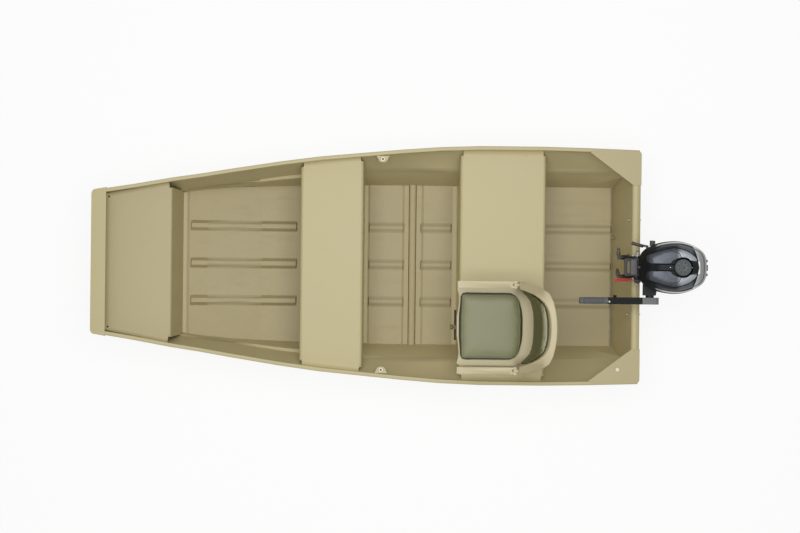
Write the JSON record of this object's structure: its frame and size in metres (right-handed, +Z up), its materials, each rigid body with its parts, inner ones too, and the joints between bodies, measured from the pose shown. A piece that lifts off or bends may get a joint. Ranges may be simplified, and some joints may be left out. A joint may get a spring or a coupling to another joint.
{
  "type": "jon boat",
  "caption": "Flat-bottomed aluminium jon boat with a bow deck, bench seats, a swivelling armchair and a small outboard motor that steers and tilts.",
  "frame": {"origin": "amidships on the centre line, at the waterline of the empty boat afloat, 45 mm above the underside of its flat bottom", "axes": "+X towards the bow, +Y to port, +Z up"},
  "size_m": [3.2935, 1.296, 1.027],
  "materials": {
    "tan_paint": "satin",
    "tan_plastic": "satin",
    "green_vinyl": "matt",
    "black_paint": "gloss",
    "black_plastic": "satin",
    "grey_plastic": "satin",
    "steel": "brushed",
    "cream_plastic": "matt",
    "red_plastic": "satin",
    "engine_iron": "cast"
  },
  "bodies": {
    "hull": {"hull_bottom": "tan_paint", "hull_side_port": "tan_paint", "hull_side_starboard": "tan_paint", "gunwale_port": "tan_paint", "gunwale_starboard": "tan_paint", "corner_plate_port": "tan_paint", "corner_plate_starboard": "tan_paint", "oarlock_socket_port": "tan_paint", "oarlock_socket_starboard": "tan_paint", "stern_eye_port": "steel", "stern_eye_starboard": "steel", "stern_handle_port": "tan_paint", "stern_handle_starboard": "tan_paint", "bow_panel": "tan_paint", "transom_skin": "tan_paint", "transom_board": "tan_paint", "transom_cap": "tan_paint", "bow_cap": "tan_paint", "bow_deck": "tan_paint", "middle_bench": "tan_paint", "rear_bench": "tan_paint", "floor_rib": "tan_paint", "light_socket": "cream_plastic", "drain_plug": "steel", "chair_base": "steel", "clamp_bracket_port": "black_paint", "clamp_bracket_starboard": "black_paint", "clamp_screw_port": "steel", "clamp_screw_starboard": "steel", "tilt_tube": "steel"},
    "swivel": {"swivel_bracket": "black_paint"},
    "motor": {"steering_shaft": "steel", "driveshaft_housing": "black_paint", "gearcase": "black_paint", "lower_cowl": "black_paint", "upper_cowl": "black_paint", "engine_block": "engine_iron", "fuel_cap": "black_plastic", "starter_handle": "black_plastic", "carry_handle": "black_plastic", "shift_lever": "grey_plastic", "cowl_latch_side": "black_plastic", "cowl_latch_rear": "black_plastic", "tiller_bracket": "black_paint", "stop_switch": "red_plastic", "lanyard": "red_plastic"},
    "tiller": {"tiller_arm": "black_paint", "tiller_grip": "black_plastic"},
    "propeller": {"propeller": "black_paint"},
    "chair": {"chair_turntable": "steel", "chair_shell": "tan_plastic", "seat_cushion": "green_vinyl", "back_cushion": "green_vinyl"},
    "armrest_port": {"armrest_port": "tan_plastic"},
    "armrest_starboard": {"armrest_starboard": "tan_plastic"}
  },
  "joints": [
    {"name": "motor_tilt", "type": "hinge", "parent": "hull", "child": "swivel", "pos_m": [-1.462, 0, 0.375], "axis": [0, 1, 0], "range_deg": [0, 70]},
    {"name": "motor_steer", "type": "hinge", "parent": "swivel", "child": "motor", "pos_m": [-1.56, 0, 0.3], "axis": [0, 0, 1], "range_deg": [-40, 40]},
    {"name": "propeller_spin", "type": "hinge", "parent": "motor", "child": "propeller", "pos_m": [-1.703, 0, -0.165], "axis": [1, 0, 0], "continuous": true},
    {"name": "tiller_fold", "type": "hinge", "parent": "motor", "child": "tiller", "pos_m": [-1.515, 0.182, 0.47], "axis": [0, -1, 0], "range_deg": [0, 90]},
    {"name": "chair_swivel", "type": "hinge", "parent": "hull", "child": "chair", "pos_m": [-0.7, 0.326, 0.306], "axis": [0, 0, 1], "continuous": true},
    {"name": "armrest_port_lift", "type": "hinge", "parent": "chair", "child": "armrest_port", "pos_m": [-0.794, 0.552, 0.572], "axis": [0, -1, 0], "range_deg": [0, 95]},
    {"name": "armrest_starboard_lift", "type": "hinge", "parent": "chair", "child": "armrest_starboard", "pos_m": [-0.794, 0.1, 0.572], "axis": [0, -1, 0], "range_deg": [0, 95]}
  ]
}
